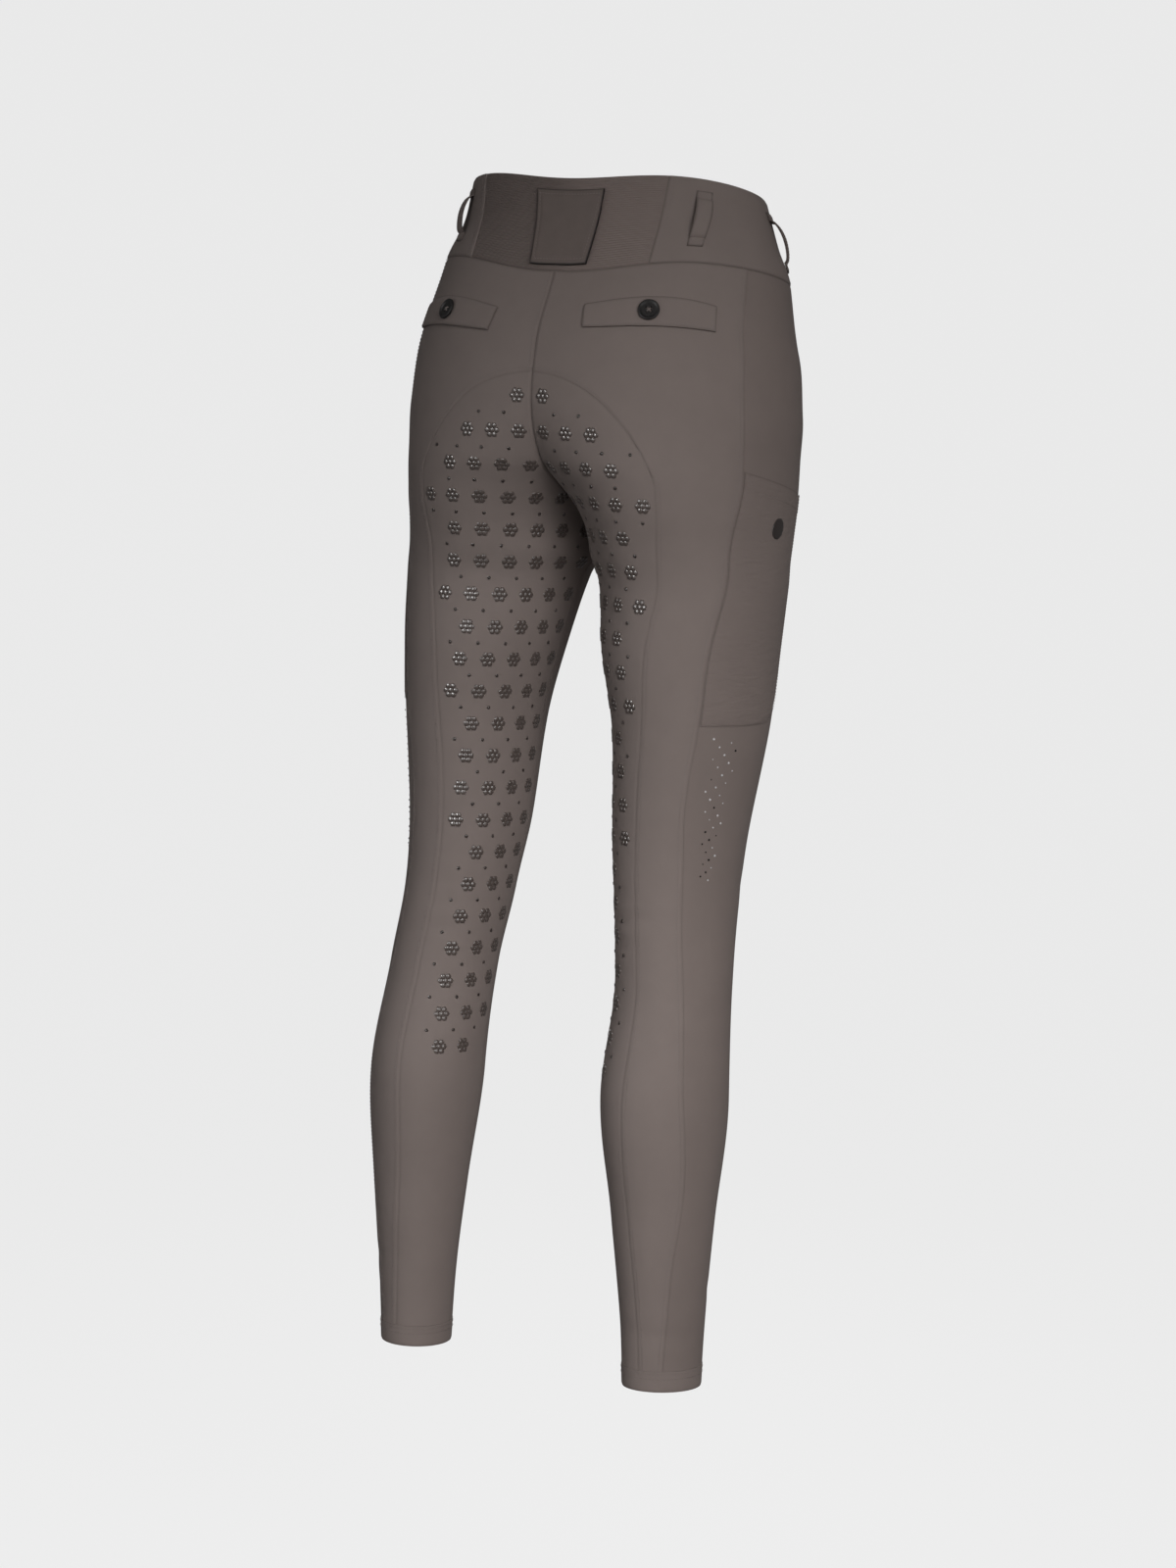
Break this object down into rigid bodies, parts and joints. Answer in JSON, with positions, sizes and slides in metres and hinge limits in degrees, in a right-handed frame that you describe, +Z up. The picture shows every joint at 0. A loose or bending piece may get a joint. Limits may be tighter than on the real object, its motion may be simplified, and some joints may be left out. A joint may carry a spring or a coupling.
{
  "type": "riding breeches",
  "caption": "High-waisted full-seat riding breeches in the filled-out hollow form of wear, with phone pockets, belt loops and narrow ankles.",
  "frame": {"origin": "middle of the waist, inside the waistband, where the wearer's waist holds the garment up", "axes": "+Z up, -Y to the front, -X to the wearer's right"},
  "size_m": [0.3408, 0.2426, 0.9862],
  "materials": {
    "cloth": "smooth stretch cloth with a soft sheen",
    "rib": "fine ribbed elastic cloth",
    "label": "bare satin leather with a stitched edge",
    "horn": "polished horn-like resin",
    "silicone": "printed satin silicone",
    "stone": "cut glass"
  },
  "bodies": {
    "root": {"waistband_back": "rib", "waistband_side_L": "cloth", "waistband_side_R": "cloth", "front_L": "cloth", "front_R": "cloth", "back_L": "cloth", "back_R": "cloth", "seat_L": "cloth", "seat_R": "cloth", "hem_L": "cloth", "hem_R": "cloth", "thigh_pocket_L": "cloth", "thigh_pocket_R": "cloth", "pocket_flap_L": "cloth", "pocket_flap_R": "cloth", "belt_loop_back_L": "cloth", "belt_loop_back_R": "cloth", "belt_loop_front_L": "cloth", "belt_loop_front_R": "cloth", "fly_flap_R": "cloth", "waist_tab": "cloth", "back_patch": "label", "pocket_button_L": "horn", "pocket_button_R": "horn", "waist_button": "horn"}
  },
  "joints": []
}
